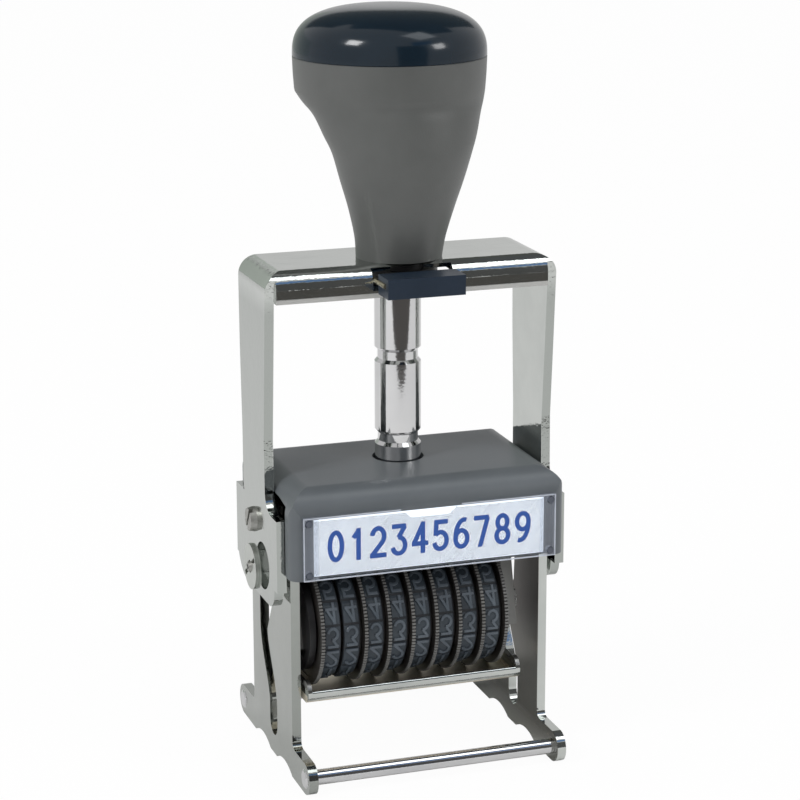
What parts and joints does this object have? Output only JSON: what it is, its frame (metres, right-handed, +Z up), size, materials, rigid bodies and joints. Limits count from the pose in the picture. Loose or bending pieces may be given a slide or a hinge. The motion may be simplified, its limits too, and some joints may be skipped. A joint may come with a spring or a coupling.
{
  "type": "numbering stamp",
  "caption": "Self-inking number stamp: a flared handle on a steel yoke slides down a column and turns a carriage of number wheels from its ink pad to the paper.",
  "frame": {"origin": "on the table under the middle of the machine, midway between the two cross rods and the two legs", "axes": "+X to the right seen from the label, +Y to the back, +Z up along the column"},
  "size_m": [0.0734, 0.0604, 0.1766],
  "materials": {
    "chrome": "polished",
    "steel": "satin",
    "grey_plastic": "satin",
    "navy_plastic": "glossy",
    "black_plastic": "matte",
    "pale_plastic": "satin",
    "clear_plastic": "clear",
    "card": "paper",
    "band_rubber": "matte",
    "ink_foam": "foam"
  },
  "bodies": {
    "base": {"side_plate_left": "chrome", "side_plate_right": "chrome", "front_rod": "steel", "rear_rod": "steel", "bridge_plate": "steel", "guide_column": "chrome", "column_nut": "steel", "pad_rails": "steel", "housing": "grey_plastic", "housing_screws": "steel", "label_card": "card", "label_cover": "clear_plastic", "cover_pegs": "pale_plastic", "return_spring": "steel"},
    "yoke": {"yoke": "chrome", "guide_bush": "black_plastic", "leg_rivets": "steel", "guide_shoes": "pale_plastic", "handle": "grey_plastic", "handle_cap": "navy_plastic", "spring_seat": "steel"},
    "lock": {"lock_button": "navy_plastic", "lock_pin": "steel"},
    "pad": {"pad_tray": "black_plastic", "ink_pad": "ink_foam"},
    "carriage": {"carriage_frame": "chrome", "pivot_disc_left": "chrome", "pivot_disc_right": "chrome", "pivot_screws": "steel", "right_spacer": "steel", "wheel_axle": "steel", "axle_nut": "steel", "end_disc": "black_plastic", "end_spacer": "black_plastic", "platen": "black_plastic", "platen_screws": "steel", "number_band_1": "band_rubber", "number_band_2": "band_rubber", "number_band_3": "band_rubber", "number_band_4": "band_rubber", "number_band_5": "band_rubber", "number_band_6": "band_rubber", "number_band_7": "band_rubber", "number_band_8": "band_rubber"},
    "wheel_1": {"number_wheel_1": "black_plastic"},
    "wheel_2": {"number_wheel_2": "black_plastic"},
    "wheel_3": {"number_wheel_3": "black_plastic"},
    "wheel_4": {"number_wheel_4": "black_plastic"},
    "wheel_5": {"number_wheel_5": "black_plastic"},
    "wheel_6": {"number_wheel_6": "black_plastic"},
    "wheel_7": {"number_wheel_7": "black_plastic"},
    "wheel_8": {"number_wheel_8": "black_plastic"}
  },
  "joints": [
    {"name": "press", "type": "slide", "parent": "base", "child": "yoke", "axis": [0, 0, -1], "range_m": [0, 0.039], "stiffness_N_per_m": 300, "springref_m": -0.02, "deforming": ["return_spring"]},
    {"name": "carriage_flip", "type": "hinge", "parent": "yoke", "child": "carriage", "pos_m": [0, 0.003, 0.0463], "axis": [1, 0, 0], "range_deg": [-180, 0]},
    {"name": "lock_press", "type": "slide", "parent": "yoke", "child": "lock", "axis": [0, 1, 0], "range_m": [0, 0.0015], "stiffness_N_per_m": 800, "springref_m": -0.001},
    {"name": "pad_slide", "type": "slide", "parent": "base", "child": "pad", "axis": [0, 1, 0], "range_m": [0, 0.03]},
    {"name": "wheel_1_turn", "type": "hinge", "parent": "carriage", "child": "wheel_1", "pos_m": [-0.0257, -0.008, 0.0353], "axis": [1, 0, 0], "continuous": true},
    {"name": "wheel_2_turn", "type": "hinge", "parent": "carriage", "child": "wheel_2", "pos_m": [-0.0153, -0.008, 0.0353], "axis": [1, 0, 0], "continuous": true},
    {"name": "wheel_3_turn", "type": "hinge", "parent": "carriage", "child": "wheel_3", "pos_m": [-0.00955, -0.008, 0.0353], "axis": [1, 0, 0], "continuous": true},
    {"name": "wheel_4_turn", "type": "hinge", "parent": "carriage", "child": "wheel_4", "pos_m": [-0.0038, -0.008, 0.0353], "axis": [1, 0, 0], "continuous": true},
    {"name": "wheel_5_turn", "type": "hinge", "parent": "carriage", "child": "wheel_5", "pos_m": [0.00195, -0.008, 0.0353], "axis": [1, 0, 0], "continuous": true},
    {"name": "wheel_6_turn", "type": "hinge", "parent": "carriage", "child": "wheel_6", "pos_m": [0.0077, -0.008, 0.0353], "axis": [1, 0, 0], "continuous": true},
    {"name": "wheel_7_turn", "type": "hinge", "parent": "carriage", "child": "wheel_7", "pos_m": [0.01345, -0.008, 0.0353], "axis": [1, 0, 0], "continuous": true},
    {"name": "wheel_8_turn", "type": "hinge", "parent": "carriage", "child": "wheel_8", "pos_m": [0.0192, -0.008, 0.0353], "axis": [1, 0, 0], "continuous": true}
  ],
  "couplings": [
    {"joint": "carriage_flip", "follows": "press", "rad_per_m": -80.553}
  ]
}
